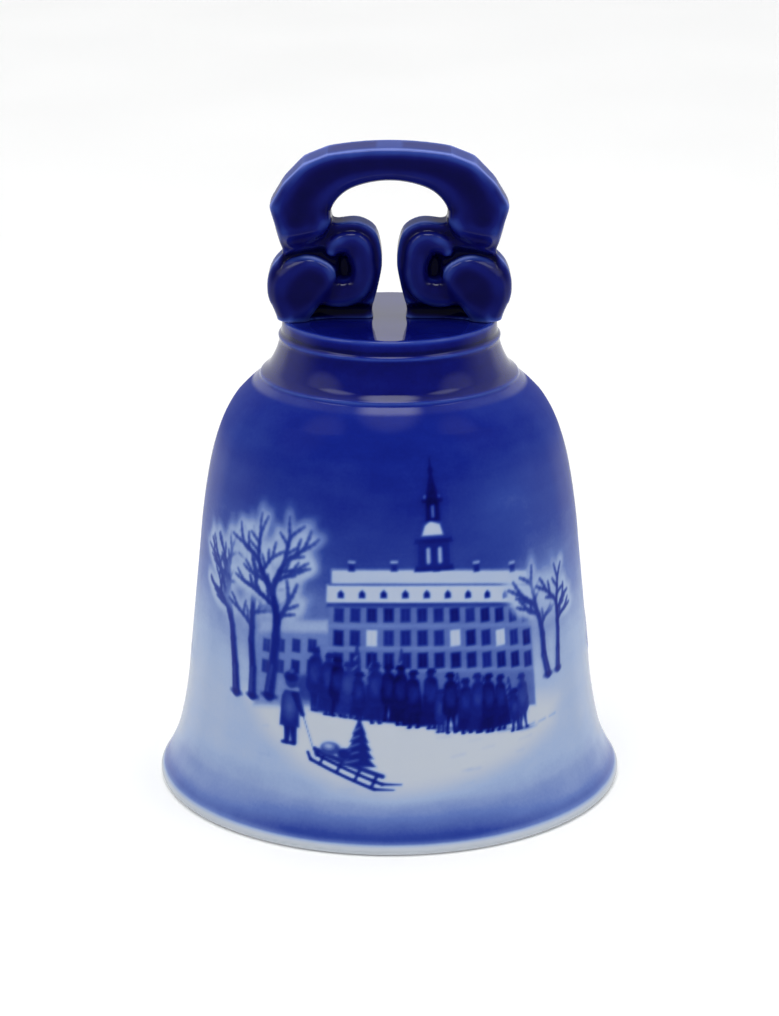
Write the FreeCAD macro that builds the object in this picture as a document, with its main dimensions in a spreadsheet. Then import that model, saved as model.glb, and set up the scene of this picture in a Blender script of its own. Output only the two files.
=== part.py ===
import FreeCAD, Part
import os
import math
import Sketcher

# Porcelain hand bell with a chain-hung clapper.
# Millimetres, +Z up; the origin is the centre of the foot rim, at table level.

V = FreeCAD.Vector
DOC = FreeCAD.newDocument("porcelain_bell")
SHEET = DOC.addObject("Spreadsheet::Sheet", "Sizes")
ROW = [0]


def number(name, value):
    """Put one plain number in the spreadsheet under an alias."""
    ROW[0] += 1
    cell = "B%d" % ROW[0]
    SHEET.set("A%d" % ROW[0], name)
    SHEET.set(cell, "%g" % value)
    SHEET.setAlias(cell, name)
    return name


def ref(name):
    return "Sizes." + name


# ---------------------------------------------------------------- sizes

WIRE = 1.3            # wire diameter of the hanging fittings
LINK_COUNT = 5
LINK_LENGTH = 10.9    # inside length of a link
LINK_WIDTH = 3.4      # inside width of a link
PLAY = 0.3            # free gap where one wire loop rests in the next
STAPLE_BAR = 83.6     # height of the staple bar's centre line
CROWN_TOP = 95.6      # flat disc that carries the handle
CROWN_UNDER = 91.2    # underside of the crown, inside
PLUG_HEIGHT = 4.4
PITCH = LINK_LENGTH - PLAY
EYE_BAR = STAPLE_BAR - LINK_COUNT * PITCH    # centre of the last link's bottom wire

# Corners of the shell's section, as (name, radius, height).
OUTER = [
    ("crown_axis", 0.0, CROWN_TOP),
    ("crown_edge", 20.5, CROWN_TOP),
    ("crown_side", 21.3, 94.8),
    ("step_foot", 21.45, 92.9),
    ("ridge", 22.1, 92.3),
    ("ridge_under", 21.85, 91.2),
    ("neck_foot", 25.8, 84.3),
    ("shoulder_low", 34.15, 73.0),
    ("waist_top", 36.2, 65.6),
    ("waist_mid", 38.35, 50.0),
    ("waist_low", 40.9, 25.0),
    ("flare_top", 43.05, 11.2),
    ("lip_edge", 47.3, 1.3),
    ("foot_outer", 46.3, 0.0),
]
INNER = [
    ("foot_inner", 44.6, 0.0),
    ("lip_inner", 43.9, 0.9),
    ("flare_inner", 39.75, 11.6),
    ("low_inner", 37.5, 25.0),
    ("mid_inner", 34.95, 50.0),
    ("high_inner", 32.7, 65.6),
    ("shoulder_inner", 30.2, 72.4),
    ("dome_inner", 17.5, 88.6),
    ("dome_edge", 14.0, CROWN_UNDER),
    ("under_axis", 0.0, CROWN_UNDER),
]
# Arc radius of the stretch that ends at the named corner; the sign says which way
# it bends (positive turns left while walking the outline).
SHELL_ARCS = {
    "crown_side": -0.8,
    "neck_foot": 25.0,
    "shoulder_low": -21.0,
    "waist_top": -50.0,
    "waist_mid": -145.0,
    "flare_top": 95.0,
    "lip_edge": 28.0,
    "foot_outer": -1.4,
    "lip_inner": -1.0,
    "flare_inner": -31.0,
    "low_inner": -98.0,
    "high_inner": 142.0,
    "shoulder_inner": 46.0,
    "dome_inner": 24.0,
    "dome_edge": 4.2,
}

# Corners of the right half of the handle seen from the front, as (name, x, z).
HANDLE = [
    ("top", 0.0, 130.0),
    ("brow", 12.0, 128.9),
    ("bevel_high", 16.8, 126.9),
    ("bevel_low", 20.7, 123.0),
    ("elbow", 23.5, 118.4),
    ("leg_foot", 20.9, 109.9),
    ("lobe_head", 20.9, 108.7),
    ("lobe_side", 23.9, 102.2),
    ("lobe_foot", 21.0, 96.4),
    ("foot_out", 20.5, CROWN_TOP),
    ("foot_in", 3.6, CROWN_TOP),
    ("hook_low", 3.0, 99.4),
    ("hook_mid", 1.5, 106.0),
    ("hook_high", 2.1, 111.8),
    ("hook_top", 7.4, 115.7),
    ("crook", 10.6, 115.2),
    ("lens_end", 11.5, 117.6),
    ("lens_side", 7.4, 121.9),
    ("lens_top", 0.0, 123.4),
]
HANDLE_ARCS = {
    "brow": -66.0,
    "lobe_side": -6.9,
    "lobe_foot": -6.9,
    "hook_low": 14.0,
    "hook_mid": -60.0,
    "hook_high": -16.0,
    "hook_top": -5.2,
    "lens_end": 1.8,
    "lens_side": 8.0,
    "lens_top": 19.0,
}
# Hollow between the leg and the two scrolls, cut into both faces.
HOLLOW = [
    ("hollow_out", 21.6, 109.0),
    ("hollow_leg", 15.4, 109.7),
    ("hollow_tip", 10.6, 109.6),
    ("core_high", 7.4, 110.9),
    ("core_in", 5.7, 107.4),
    ("core_low", 8.4, 103.6),
    ("lobe_neck", 11.6, 105.4),
    ("lobe_crest", 15.9, 107.5),
    ("lobe_back", 21.6, 108.0),
]
HOLLOW_ARCS = {
    "hollow_tip": 9.0,
    "core_high": -2.4,
    "core_in": 2.6,
    "core_low": 3.4,
    "lobe_crest": -5.4,
}
# Low hollow between the scroll band and the crown, cut into both faces.
UNDERCUT = [
    ("under_out", 14.6, 94.6),
    ("under_high", 14.2, 99.5),
    ("under_band", 6.2, 97.9),
    ("under_in", 5.0, 94.6),
]
UNDERCUT_ARCS = {
    "under_band": -12.0,
}

for corner, across, up in OUTER + INNER + HANDLE + HOLLOW + UNDERCUT:
    number(corner + "_across", across)
    number(corner + "_up", up)
for bends in (SHELL_ARCS, HANDLE_ARCS, HOLLOW_ARCS, UNDERCUT_ARCS):
    for corner, radius in bends.items():
        number(corner + "_bend", abs(radius))

number("wire_diameter", WIRE)
number("link_inside_length", LINK_LENGTH)
number("link_inside_width", LINK_WIDTH)
number("staple_bar_height", STAPLE_BAR)
number("staple_half_span", 2.7)
number("crown_underside", CROWN_UNDER)
number("plug_radius", 6.5)
number("plug_height", PLUG_HEIGHT)
number("plug_edge", 0.8)
number("socket_radius", 0.67)
number("handle_depth", 12.0)
number("hollow_depth", 3.2)
number("undercut_depth", 3.0)
number("arch_edge", 1.6)
number("ball_radius", 8.6)
number("ball_height", 15.4)
number("ball_shoulder", 3.1)
number("ball_top", 25.4)
number("stem_socket_depth", 5.0)
number("stem_socket_radius", 0.67)
DOC.recompute()


def value(name):
    return float(SHEET.get(name))


# ---------------------------------------------------------------- sketch helpers

def origin_plane(body, role):
    """The body's own base plane, found by its role."""
    for feature in body.Origin.OriginFeatures:
        if feature.Role == role:
            return feature
    raise RuntimeError("no plane " + role)


def origin_axis(body, role):
    for feature in body.Origin.OriginFeatures:
        if feature.Role == role:
            return feature
    raise RuntimeError("no axis " + role)


def new_body(label):
    body = DOC.addObject("PartDesign::Body", label)
    body.Label = label
    return body


def new_sketch(body, name, role):
    sketch = body.newObject("Sketcher::SketchObject", name)
    sketch.AttachmentSupport = [(origin_plane(body, role), "")]
    sketch.MapMode = "FlatFace"
    return sketch


def arc_between(start, end, radius):
    """Arc from start to end; a positive radius bends left, a negative one right."""
    chord = end - start
    half = chord.Length / 2
    size = abs(radius)
    reach = math.sqrt(max(size * size - half * half, 0.0))
    left = V(-chord.y, chord.x, 0).normalize()
    side = 1 if radius > 0 else -1
    centre = start + chord * 0.5 + left * (reach * side)
    circle = Part.Circle(centre, V(0, 0, 1), size)
    first, last = (start, end) if radius > 0 else (end, start)
    a0 = math.atan2(first.y - centre.y, first.x - centre.x)
    a1 = math.atan2(last.y - centre.y, last.x - centre.x)
    if a1 < a0:
        a1 += 2 * math.pi
    return Part.ArcOfCircle(circle, a0, a1)


def closed_outline(sketch, corners, arcs):
    """Closed outline through named corners; every coordinate and bend is bound."""
    count = len(corners)
    points = [V(across, up, 0) for _, across, up in corners]
    ends = []
    for i in range(count):
        start, end = points[i], points[(i + 1) % count]
        bend = arcs.get(corners[(i + 1) % count][0])
        if bend is None:
            geo = sketch.addGeometry(Part.LineSegment(start, end), False)
            ends.append((geo, 1, 2))
        else:
            geo = sketch.addGeometry(arc_between(start, end, bend), False)
            ends.append((geo, 1, 2) if bend > 0 else (geo, 2, 1))
    for i in range(count):
        geo, first, _ = ends[i]
        before, _, last = ends[i - 1]
        name, across, up = corners[i]
        sketch.addConstraint(Sketcher.Constraint("Coincident", before, last, geo, first))
        if across == 0.0:
            sketch.addConstraint(Sketcher.Constraint("PointOnObject", geo, first, -2))
        else:
            item = sketch.addConstraint(
                Sketcher.Constraint("DistanceX", -1, 1, geo, first, across))
            sketch.setExpression("Constraints[%d]" % item, ref(name + "_across"))
        if up == 0.0:
            sketch.addConstraint(Sketcher.Constraint("PointOnObject", geo, first, -1))
        else:
            item = sketch.addConstraint(
                Sketcher.Constraint("DistanceY", -1, 1, geo, first, up))
            sketch.setExpression("Constraints[%d]" % item, ref(name + "_up"))
    for i in range(count):
        name = corners[(i + 1) % count][0]
        if name in arcs:
            item = sketch.addConstraint(
                Sketcher.Constraint("Radius", ends[i][0], abs(arcs[name])))
            sketch.setExpression("Constraints[%d]" % item, ref(name + "_bend"))


def both_sides(feature):
    """Grow a pad or a pocket equally to both sides of its sketch."""
    if hasattr(feature, "SideType"):
        feature.SideType = "Symmetric"
    else:
        feature.Midplane = True


def revolve(body, sketch, name):
    turn = body.newObject("PartDesign::Revolution", name)
    turn.Profile = sketch
    turn.ReferenceAxis = (origin_axis(body, "Z_Axis"), [""])
    turn.Angle = 360
    return turn


# ---------------------------------------------------------------- pieces

def bell_shell():
    """Hollow porcelain bell: flat foot rim, flared lip, waist, shoulder, crown disc."""
    body = new_body("bell_shell")
    sketch = new_sketch(body, "ShellSection", "XZ_Plane")
    closed_outline(sketch, OUTER + INNER, SHELL_ARCS)
    revolve(body, sketch, "ShellTurn")
    return body


def handle():
    """Cast porcelain handle: an angular arch whose legs end in pairs of scrolls."""
    body = new_body("handle")
    outline = new_sketch(body, "HandleHalf", "XZ_Plane")
    closed_outline(outline, HANDLE, HANDLE_ARCS)
    pad = body.newObject("PartDesign::Pad", "HandlePad")
    pad.Profile = outline
    pad.setExpression("Length", ref("handle_depth"))
    both_sides(pad)
    cuts = []
    for name, corners, bends, depth in (
            ("Hollow", HOLLOW, HOLLOW_ARCS, "hollow_depth"),
            ("Undercut", UNDERCUT, UNDERCUT_ARCS, "undercut_depth")):
        for side, sign in (("Front", 1), ("Back", -1)):
            sketch = new_sketch(body, name + side, "XZ_Plane")
            closed_outline(sketch, corners, bends)
            shift = "(%s / 2 - %s) * %d" % (ref("handle_depth"), ref(depth), sign)
            sketch.setExpression("AttachmentOffset.Base.z", shift)
            pocket = body.newObject("PartDesign::Pocket", name + side + "Cut")
            pocket.Profile = sketch
            pocket.setExpression("Length", ref(depth) + " + 2")
            pocket.Reversed = sign > 0
            cuts.append(pocket)
    DOC.recompute()
    mirror = body.newObject("PartDesign::Mirrored", "HandleMirror")
    mirror.Originals = [pad] + cuts
    mirror.MirrorPlane = (origin_plane(body, "YZ_Plane"), [""])
    body.Tip = mirror
    DOC.recompute()
    rounding = body.newObject("PartDesign::Fillet", "ArchRounding")
    rounding.Base = (mirror, arch_edges(mirror.Shape, value("handle_depth") / 2))
    rounding.setExpression("Radius", ref("arch_edge"))
    body.Tip = rounding
    DOC.recompute()
    return body


def arch_edges(shape, reach):
    """Names of the arch's edges on the front and the back face, from the elbows up."""
    names = []
    for count, edge in enumerate(shape.Edges, 1):
        ends = edge.Vertexes
        on_face = all(abs(abs(end.Y) - reach) < 1e-4 for end in ends)
        if on_face and min(end.Z for end in ends) > 117.0:
            names.append("Edge%d" % count)
    return names


def plug():
    """Round plaster plug under the crown, with two sockets for the staple."""
    cylinder = DOC.addObject("Part::Cylinder", "PlugDisc")
    cylinder.setExpression("Radius", ref("plug_radius"))
    cylinder.setExpression("Height", ref("plug_height"))
    cylinder.setExpression(
        "Placement.Base.z", ref("crown_underside") + " - " + ref("plug_height"))
    sockets = []
    for side, sign in (("Left", -1), ("Right", 1)):
        socket = DOC.addObject("Part::Cylinder", "PlugSocket" + side)
        socket.setExpression("Radius", ref("socket_radius"))
        socket.setExpression("Height", ref("plug_height"))
        socket.setExpression("Placement.Base.x", "%d * %s" % (sign, ref("staple_half_span")))
        socket.setExpression(
            "Placement.Base.z", ref("crown_underside") + " - 1.4 - " + ref("plug_height"))
        sockets.append(socket)
    pair = DOC.addObject("Part::MultiFuse", "PlugSockets")
    pair.Shapes = sockets
    cut = DOC.addObject("Part::Cut", "hanger_plug")
    cut.Base = cylinder
    cut.Tool = pair
    cut.Label = "hanger_plug"
    return cut


def wire_pipe(name, edges, start, direction):
    """Round wire swept along a path of edges."""
    path = Part.Wire(Part.__sortEdges__(edges))
    circle = Part.Wire([Part.makeCircle(value("wire_diameter") / 2, start, direction)])
    solid = path.makePipeShell([circle], True, False, 2)
    piece = DOC.addObject("Part::Feature", name)
    piece.Shape = solid
    piece.Label = name
    return piece


def staple():
    """Bent wire staple: two legs up into the plug, a round bar across below."""
    bar = value("staple_bar_height")
    span = value("staple_half_span")
    top = value("crown_underside") - 1.6
    bend = 1.9
    left_low, right_low = V(-span, 0, bar + bend), V(span, 0, bar + bend)
    cut = bend * math.sqrt(0.5)
    edges = [
        Part.LineSegment(V(-span, 0, top), left_low).toShape(),
        Part.Arc(left_low, V(-span + bend - cut, 0, bar + bend - cut),
                 V(-span + bend, 0, bar)).toShape(),
        Part.LineSegment(V(-span + bend, 0, bar), V(span - bend, 0, bar)).toShape(),
        Part.Arc(V(span - bend, 0, bar), V(span - bend + cut, 0, bar + bend - cut),
                 right_low).toShape(),
        Part.LineSegment(right_low, V(span, 0, top)).toShape(),
    ]
    return wire_pipe("hanger_staple", edges, V(-span, 0, top), V(0, 0, 1))


def loop_edges(centre_low, centre_high, radius, flat):
    """Long-oval centre line; it lies across X when flat is 0, across Y when 1."""
    side = V(0, 1, 0) if flat else V(1, 0, 0)
    up = V(0, 0, 1)
    return [
        Part.Arc(centre_low - side * radius, centre_low - up * radius,
                 centre_low + side * radius).toShape(),
        Part.LineSegment(centre_low + side * radius, centre_high + side * radius).toShape(),
        Part.Arc(centre_high + side * radius, centre_high + up * radius,
                 centre_high - side * radius).toShape(),
        Part.LineSegment(centre_high - side * radius, centre_low - side * radius).toShape(),
    ]


def chain_link(index):
    """One closed oval link; odd links lie across Y, even ones across X."""
    wire = value("wire_diameter")
    radius = (value("link_inside_width") + wire) / 2
    hang = value("staple_bar_height") - index * PITCH
    top = hang + wire + PLAY
    bottom = top - value("link_inside_length") - wire
    low, high = V(0, 0, bottom + radius), V(0, 0, top - radius)
    across = (index % 2 == 0)
    side = V(0, 1, 0) if across else V(1, 0, 0)
    edges = loop_edges(low, high, radius, across)
    start = low + side * radius
    return wire_pipe("chain_link_%d" % (index + 1), edges, start, V(0, 0, 1))


def clapper_eye():
    """Wire eye: a ring with a straight stem set in the top of the ball."""
    wire = value("wire_diameter")
    ring = (3.4 + wire) / 2
    top = EYE_BAR + wire + PLAY
    centre = V(0, 0, top - ring)
    torus = Part.makeTorus(ring, wire / 2, centre, V(1, 0, 0) if LINK_COUNT % 2 == 0
                           else V(0, 1, 0))
    stem_foot = value("ball_top") - value("stem_socket_depth") + 0.4
    stem = Part.makeCylinder(wire / 2, centre.z - ring - stem_foot, V(0, 0, stem_foot))
    piece = DOC.addObject("Part::Feature", "clapper_eye")
    piece.Shape = torus.fuse(stem).removeSplitter()
    piece.Label = "clapper_eye"
    return piece


def clapper():
    """Porcelain ball with a short neck and a socket for the wire stem."""
    body = new_body("clapper")
    sketch = new_sketch(body, "ClapperSection", "XZ_Plane")
    radius, height = value("ball_radius"), value("ball_height")
    neck, top = value("ball_shoulder"), value("ball_top")
    socket, depth = value("stem_socket_radius"), value("stem_socket_depth")
    meet = math.sqrt(radius ** 2 - (neck + 1.4) ** 2)
    corners = [
        V(0, height - radius, 0), V(neck + 1.4, height + meet, 0), V(neck, top - 0.6, 0),
        V(neck - 0.6, top, 0), V(socket, top, 0), V(socket, top - depth, 0),
        V(0, top - depth, 0),
    ]
    low = math.atan2(-1, 0)
    high = math.atan2(meet, neck + 1.4)
    ball = Part.ArcOfCircle(Part.Circle(V(0, height, 0), V(0, 0, 1), radius), low, high)
    sketch.addGeometry(ball, False)
    for start, end in zip(corners[1:], corners[2:] + corners[:1]):
        sketch.addGeometry(Part.LineSegment(start, end), False)
    count = 7
    for i in range(count):
        after = (i + 1) % count
        sketch.addConstraint(Sketcher.Constraint("Coincident", i, 2, after, 1))

    def bind(kind, geo, point, size, text):
        item = sketch.addConstraint(Sketcher.Constraint(kind, -1, 1, geo, point, size))
        sketch.setExpression("Constraints[%d]" % item, text)

    sketch.addConstraint(Sketcher.Constraint("PointOnObject", 0, 3, -2))
    sketch.addConstraint(Sketcher.Constraint("PointOnObject", 0, 1, -2))
    bind("DistanceY", 0, 3, height, ref("ball_height"))
    item = sketch.addConstraint(Sketcher.Constraint("Radius", 0, radius))
    sketch.setExpression("Constraints[%d]" % item, ref("ball_radius"))
    bind("DistanceX", 0, 2, neck + 1.4, ref("ball_shoulder") + " + 1.4")
    bind("DistanceX", 1, 2, neck, ref("ball_shoulder"))
    bind("DistanceY", 1, 2, top - 0.6, ref("ball_top") + " - 0.6")
    bind("DistanceX", 2, 2, neck - 0.6, ref("ball_shoulder") + " - 0.6")
    bind("DistanceY", 2, 2, top, ref("ball_top"))
    bind("DistanceX", 3, 2, socket, ref("stem_socket_radius"))
    sketch.addConstraint(Sketcher.Constraint("Horizontal", 3))
    sketch.addConstraint(Sketcher.Constraint("Vertical", 4))
    bind("DistanceY", 4, 2, top - depth, ref("ball_top") + " - " + ref("stem_socket_depth"))
    sketch.addConstraint(Sketcher.Constraint("Horizontal", 5))
    sketch.addConstraint(Sketcher.Constraint("PointOnObject", 5, 2, -2))
    revolve(body, sketch, "ClapperTurn")
    return body


# ---------------------------------------------------------------- build and write

pieces = [bell_shell(), handle(), plug(), staple()]
for link in range(LINK_COUNT):
    pieces.append(chain_link(link))
pieces += [clapper_eye(), clapper()]
DOC.recompute()

for item in DOC.Objects:
    if "Invalid" in item.State or "Error" in item.State:
        raise RuntimeError("failed: %s %s" % (item.Label, item.State))

os.makedirs("parts", exist_ok=True)
for piece in pieces:
    shape = piece.Shape
    if shape.isNull() or not shape.isValid() or len(shape.Solids) != 1:
        raise RuntimeError("bad shape: %s (%d solids)" % (piece.Label, len(shape.Solids)))
    box = shape.BoundBox
    print("%-15s vol %9.1f  x %6.2f..%6.2f  y %6.2f..%6.2f  z %6.2f..%6.2f" % (
        piece.Label, shape.Volume, box.XMin, box.XMax, box.YMin, box.YMax, box.ZMin, box.ZMax))
    shape.exportStep("parts/%s.step" % piece.Label)
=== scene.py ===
import math
import bpy
import numpy as np
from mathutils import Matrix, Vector


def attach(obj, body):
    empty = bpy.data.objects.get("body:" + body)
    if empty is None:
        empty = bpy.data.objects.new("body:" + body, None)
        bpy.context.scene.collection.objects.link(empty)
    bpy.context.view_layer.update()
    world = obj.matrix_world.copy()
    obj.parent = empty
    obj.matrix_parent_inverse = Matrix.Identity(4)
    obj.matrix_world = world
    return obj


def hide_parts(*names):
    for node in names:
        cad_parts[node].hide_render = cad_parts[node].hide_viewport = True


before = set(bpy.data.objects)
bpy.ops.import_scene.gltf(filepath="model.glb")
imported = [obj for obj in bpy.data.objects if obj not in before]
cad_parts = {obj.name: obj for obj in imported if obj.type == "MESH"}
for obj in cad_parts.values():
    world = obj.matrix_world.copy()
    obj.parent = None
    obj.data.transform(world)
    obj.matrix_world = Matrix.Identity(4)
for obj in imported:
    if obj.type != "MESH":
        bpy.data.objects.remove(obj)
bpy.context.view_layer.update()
MM = 0.001
# Heights in millimetres, the same as the CAD's.
CEILING = 91.2      # the crown's underside
CROWN = 95.6        # the crown's top, which the handle stands on
TOP = 130.0         # the handle's top

# ---- small helpers


def lin(red, green, blue):
    """8-bit sRGB to the linear RGBA that Blender's sockets hold."""
    out = []
    for channel in (red, green, blue):
        c = channel / 255
        out.append(c / 12.92 if c <= 0.04045 else ((c + 0.055) / 1.055) ** 2.4)
    return (*out, 1.0)


def step(low, high, x):
    """Smooth 0 to 1 as x goes from low to high."""
    t = np.clip((x - low) / (high - low), 0, 1)
    return t * t * (3 - 2 * t)


def arc_run(start, end, bend, spacing):
    """Points from start to end, both included, along a line or an arc of radius bend."""
    start, end = np.array(start, float), np.array(end, float)
    chord = end - start
    length = np.hypot(*chord)
    if not bend:
        count = max(1, int(round(length / spacing)))
        return start + chord * np.linspace(0, 1, count + 1)[:, None]
    radius = abs(bend)
    reach = math.sqrt(max(radius * radius - length * length / 4, 0))
    left = np.array([-chord[1], chord[0]]) / length
    centre = start + chord / 2 + left * (reach if bend > 0 else -reach)
    a0 = math.atan2(*(start - centre)[::-1])
    a1 = math.atan2(*(end - centre)[::-1])
    if bend > 0 and a1 < a0:
        a1 += 2 * math.pi
    if bend < 0 and a1 > a0:
        a1 -= 2 * math.pi
    count = max(2, int(round(abs(a1 - a0) * radius / spacing)))
    angles = np.linspace(a0, a1, count + 1)
    return centre + radius * np.stack([np.cos(angles), np.sin(angles)], 1)


def outline(corners, spacing):
    """Polyline through (x, y, bend) corners; bend belongs to the stretch that ends there."""
    runs = [np.array([corners[0][:2]], float)]
    for before, after in zip(corners, corners[1:]):
        runs.append(arc_run(before[:2], after[:2], after[2], spacing)[1:])
    return np.concatenate(runs)


def put(name, data, place=(0, 0, 0), turn=(0, 0, 0)):
    """Object that shows some data, linked to the scene."""
    thing = bpy.data.objects.new(name, data)
    thing.location, thing.rotation_euler = place, turn
    bpy.context.collection.objects.link(thing)
    return thing


def build_mesh(name, verts, quads, body, material, tris=(), **layers):
    """Mesh piece in metres from millimetre arrays; layers become point attributes."""
    mesh = bpy.data.meshes.new(name)
    quads = np.asarray(quads, np.int32).reshape(-1, 4)
    tris = np.asarray(tris, np.int32).reshape(-1, 3)
    loops = np.concatenate([quads.ravel(), tris.ravel()])
    totals = np.concatenate([np.full(len(quads), 4), np.full(len(tris), 3)]).astype(np.int32)
    starts = np.concatenate([[0], np.cumsum(totals)[:-1]]).astype(np.int32)
    mesh.vertices.add(len(verts))
    mesh.vertices.foreach_set("co", (np.asarray(verts, float) * MM).ravel())
    mesh.loops.add(len(loops))
    mesh.loops.foreach_set("vertex_index", loops)
    mesh.polygons.add(len(totals))
    mesh.polygons.foreach_set("loop_start", starts)
    mesh.polygons.foreach_set("loop_total", totals)
    mesh.polygons.foreach_set("use_smooth", np.ones(len(totals), bool))
    for layer, values in layers.items():
        data = mesh.attributes.new(layer, "FLOAT", "POINT").data
        data.foreach_set("value", np.asarray(values, np.float32).ravel())
    mesh.update(calc_edges=True)
    mesh.validate()
    mesh.materials.append(material)
    piece = put(name, mesh)
    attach(piece, body)
    return piece


# ---- materials


class Nodes:
    """Short-hand for building the node tree of a material or of the world."""

    def __init__(self, owner, shader="Principled BSDF"):
        owner.use_nodes = True
        self.owner, self.tree = owner, owner.node_tree
        self.shader = self.tree.nodes[shader]

    def add(self, kind, inputs, **settings):
        """New node. Its inputs take numbers, colours or other nodes' outputs."""
        node = self.tree.nodes.new(kind)
        for key, value in settings.items():
            setattr(node, key, value)
        self.fill(node, inputs)
        return node

    def fill(self, node, inputs):
        for key, value in inputs.items():
            if isinstance(value, bpy.types.NodeSocket):
                self.tree.links.new(value, node.inputs[key])
            else:
                node.inputs[key].default_value = value

    def attribute(self, name):
        return self.add("ShaderNodeAttribute", {}, attribute_name=name).outputs["Fac"]

    def noise(self, scale, detail, roughness, stretch=None):
        source = self.add("ShaderNodeTexCoord", {}).outputs["Object"]
        if stretch:
            mapping = self.add("ShaderNodeMapping", {"Vector": source, "Scale": stretch})
            source = mapping.outputs["Vector"]
        return self.add("ShaderNodeTexNoise", {"Vector": source, "Scale": scale, "Detail": detail,
                                               "Roughness": roughness}).outputs["Fac"]

    def math(self, operation, *inputs, clamp=False):
        return self.add("ShaderNodeMath", dict(enumerate(inputs)), operation=operation,
                        use_clamp=clamp).outputs["Value"]

    def spread(self, value, low, high, to_low, to_high, kind="LINEAR"):
        """Map the range low to high onto to_low to to_high."""
        inputs = {"Value": value, "From Min": low, "From Max": high, "To Min": to_low,
                  "To Max": to_high}
        return self.add("ShaderNodeMapRange", inputs, interpolation_type=kind).outputs["Result"]

    def ramp(self, value, stops):
        """Colour by value, through (value, 8-bit sRGB) stops."""
        node = self.add("ShaderNodeValToRGB", {"Fac": value})
        elements = node.color_ramp.elements
        while len(elements) < len(stops):
            elements.new(0.5)
        for element, (place, colour) in zip(elements, stops):
            element.position = place
            element.color = lin(*colour)
        return node.outputs["Color"]

    def bump(self, height, distance, strength, before=None):
        inputs = {"Height": height, "Distance": distance, "Strength": strength}
        if before:
            inputs["Normal"] = before
        return self.add("ShaderNodeBump", inputs).outputs["Normal"]

    def set(self, **values):
        """Fill the shader's own inputs."""
        self.fill(self.shader, {key.replace("_", " "): v for key, v in values.items()})


COBALT = [
    (0.00, (196, 203, 212)),
    (0.10, (184, 194, 212)),
    (0.28, (158, 178, 214)),
    (0.48, (98, 122, 188)),
    (0.66, (48, 70, 156)),
    (0.82, (20, 36, 134)),
    (0.93, (10, 16, 104)),
    (1.00, (5, 7, 70)),
]
COAT = {"IOR": 1.5, "Coat_Roughness": 0.05, "Coat_IOR": 1.5, "Specular_IOR_Level": 0.0}


def glaze_material(name, cloud=0.05, fleck=0.02):
    """Underglaze cobalt on white porcelain beneath a clear glossy glaze.

    The point attribute "cobalt" is how much pigment lies under the glaze, 0 to 1, lowered on the
    shell for painted sheen and highlights; "bare" is 1 where the clay is left unglazed and "matte"
    takes off the glaze's shine."""
    n = Nodes(bpy.data.materials.new(name))
    pigment, bare = n.attribute("cobalt"), n.attribute("bare")
    drift = 0.0
    for noise, weight in ((n.noise(140, 4.0, 0.6), cloud * 2),
                          (n.noise(60, 3.0, 0.5, stretch=(1.0, 1.0, 5.0)), cloud * 1.6),
                          (n.noise(1500, 2.0, 0.6), fleck * 2)):
        drift = n.math("MULTIPLY_ADD", n.math("SUBTRACT", noise, 0.5), weight, drift)
    drift = n.math("MULTIPLY", drift, n.spread(pigment, 0.0, 0.25, 0.25, 1.0))
    tone = n.math("ADD", pigment, drift, clamp=True)
    shine = n.math("SUBTRACT", 1.0, n.attribute("matte"))
    ripple = n.bump(n.noise(110, 2.0, 0.45), 0.00010, 0.35)
    skin = n.bump(n.noise(900, 2.0, 0.5), 0.000012, 0.35, before=ripple)
    clay = n.bump(n.math("MULTIPLY", n.noise(5200, 2.0, 0.7), bare), 0.00006, 0.8, before=skin)
    n.set(Base_Color=n.ramp(tone, COBALT), Roughness=n.spread(bare, 0.0, 1.0, 0.16, 0.62),
          Coat_Weight=n.math("MULTIPLY", n.spread(bare, 0.0, 1.0, 1.0, 0.0), shine),
          Normal=clay, Coat_Normal=ripple, **COAT)
    return n.owner


def handle_glaze():
    """Thick cobalt glaze that pools dark in hollows and runs pale blue over edges, with painted
    sheen paling its side and top faces.
    """
    n = Nodes(bpy.data.materials.new("cobalt_glaze_thick"))
    washes = n.math("SUBTRACT", n.noise(160, 3.0, 0.6), 0.5)
    tone = n.math("MULTIPLY_ADD", washes, 0.16, n.attribute("thin"))
    stops = [
        (0.00, (3, 3, 42)),
        (0.25, (9, 9, 76)),
        (0.45, (18, 25, 106)),
        (0.70, (46, 68, 152)),
        (1.00, (110, 128, 208)),
    ]
    ripple = n.bump(n.noise(170, 2.0, 0.45), 0.00012, 0.35)
    pits = n.bump(n.noise(2600, 2.0, 0.5), 0.000008, 0.4, before=ripple)
    n.set(Base_Color=n.ramp(tone, stops), Roughness=0.4, Normal=pits, Coat_Normal=ripple,
          Coat_Weight=n.math("SUBTRACT", 1.0, n.attribute("matte")), **COAT)
    return n.owner


def plaster_material():
    """Chalky off-white with a grainy surface."""
    n = Nodes(bpy.data.materials.new("plaster"))
    stops = [(0.3, (176, 168, 152)), (0.55, (214, 208, 194)), (0.8, (230, 226, 216))]
    n.set(Base_Color=n.ramp(n.noise(700, 4.0, 0.65), stops), Roughness=0.85,
          Normal=n.bump(n.noise(2400, 5.0, 0.7), 0.0002, 0.7))
    return n.owner


def wire_material():
    """Drawn steel wire, tarnished in patches."""
    n = Nodes(bpy.data.materials.new("chain_wire"))
    tarnish = n.noise(420, 4.0, 0.6)
    stops = [(0.30, (92, 84, 74)), (0.52, (158, 152, 144)), (0.75, (196, 192, 186))]
    drawn = n.noise(2200, 2.0, 0.5, stretch=(1.0, 1.0, 0.12))
    n.set(Base_Color=n.ramp(tarnish, stops), Roughness=n.spread(tarnish, 0.3, 0.7, 0.5, 0.26),
          Normal=n.bump(drawn, 0.00003, 0.5), Metallic=1.0)
    return n.owner


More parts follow.
